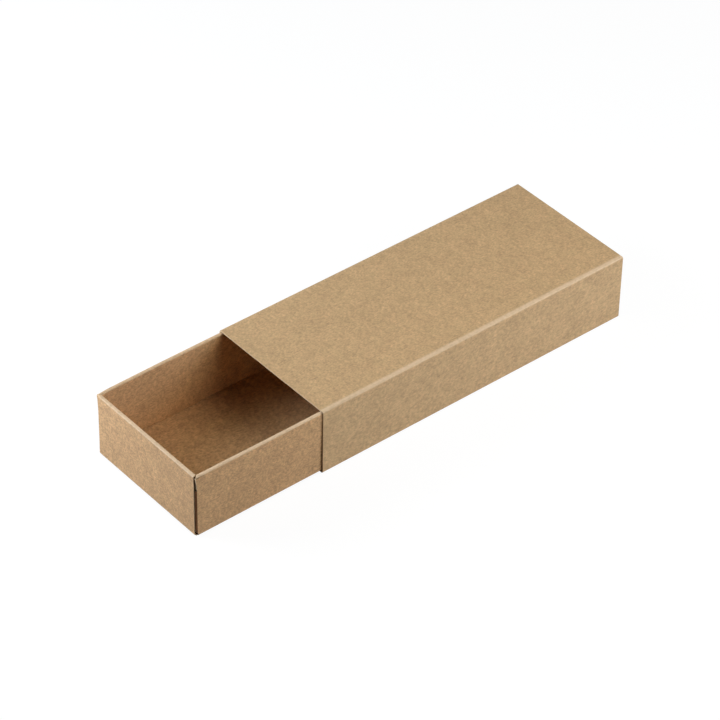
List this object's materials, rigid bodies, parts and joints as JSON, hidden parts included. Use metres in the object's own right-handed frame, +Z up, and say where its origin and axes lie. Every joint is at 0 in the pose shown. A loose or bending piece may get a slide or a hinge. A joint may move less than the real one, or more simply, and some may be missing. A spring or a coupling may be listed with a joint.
{
  "type": "sliding drawer gift box",
  "caption": "Matchbox-style gift box in plain card: an open-ended folded sleeve with a sliding tray whose rolled double walls lock into its base.",
  "frame": {"origin": "centre of the sleeve's underside, on the surface that the box rests on", "axes": "+X across the box, +Y along it towards the sleeve's free mouth, +Z up; the tray is drawn out towards -Y"},
  "size_m": [0.07, 0.2362, 0.0334],
  "materials": {
    "sleeve_card": "uncoated kraft card, matte",
    "tray_card": "uncoated kraft card, matte",
    "glue": "dried paper glue"
  },
  "bodies": {
    "sleeve": {"sleeve": "sleeve_card", "seam_glue": "glue"},
    "tray": {"tray": "tray_card"}
  },
  "joints": [
    {"name": "tray_slide", "type": "slide", "parent": "sleeve", "child": "tray", "axis": [0, -1, 0], "range_m": [-0.2312, 0.0983]}
  ]
}
